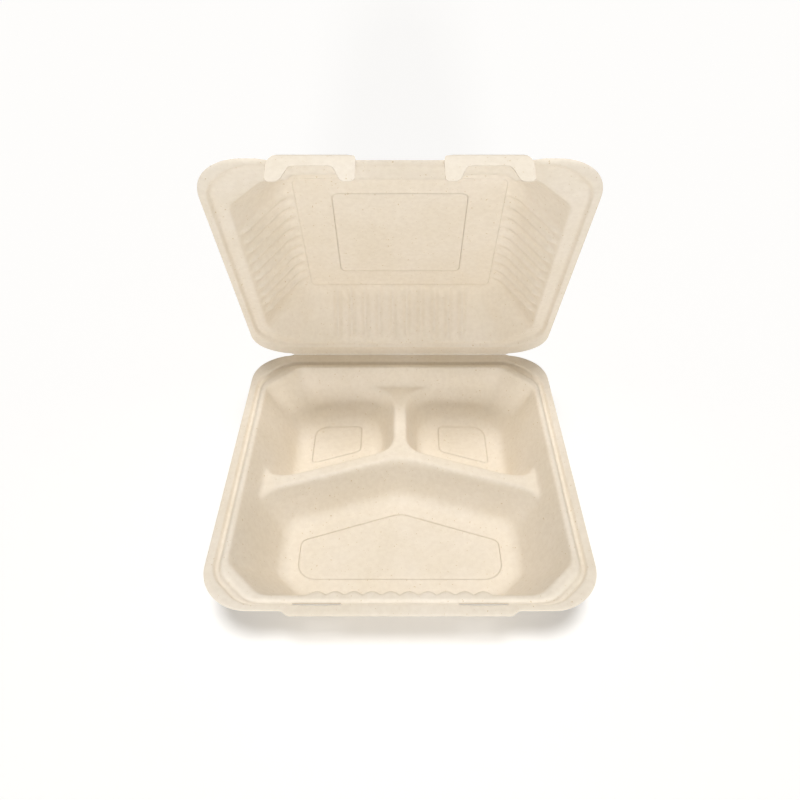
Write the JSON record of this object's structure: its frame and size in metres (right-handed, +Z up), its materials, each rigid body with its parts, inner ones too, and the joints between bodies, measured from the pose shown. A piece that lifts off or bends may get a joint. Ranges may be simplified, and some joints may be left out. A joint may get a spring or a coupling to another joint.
{
  "type": "fiber clamshell container",
  "caption": "Square takeaway food box of moulded plant fibre: a tray with chevron dividers, a deep fluted lid on a folded hinge, and notched locking tabs.",
  "frame": {"origin": "on the surface the tray stands on, under the middle of the whole extent with the lid as it stands open", "axes": "+Z up, +X to the right seen from the front, -Y towards the front; the hinge runs along X behind the tray"},
  "size_m": [0.23, 0.2468, 0.2566],
  "materials": {
    "fibre": "matte moulded plant fibre, warm cream"
  },
  "bodies": {
    "base": {"base": "fibre"},
    "lid": {"lid": "fibre"}
  },
  "joints": [
    {"name": "lid_hinge", "type": "hinge", "parent": "base", "child": "lid", "pos_m": [0, 0.10961, 0.044], "axis": [-1, 0, 0], "range_deg": [-64.8, 115.2]}
  ]
}
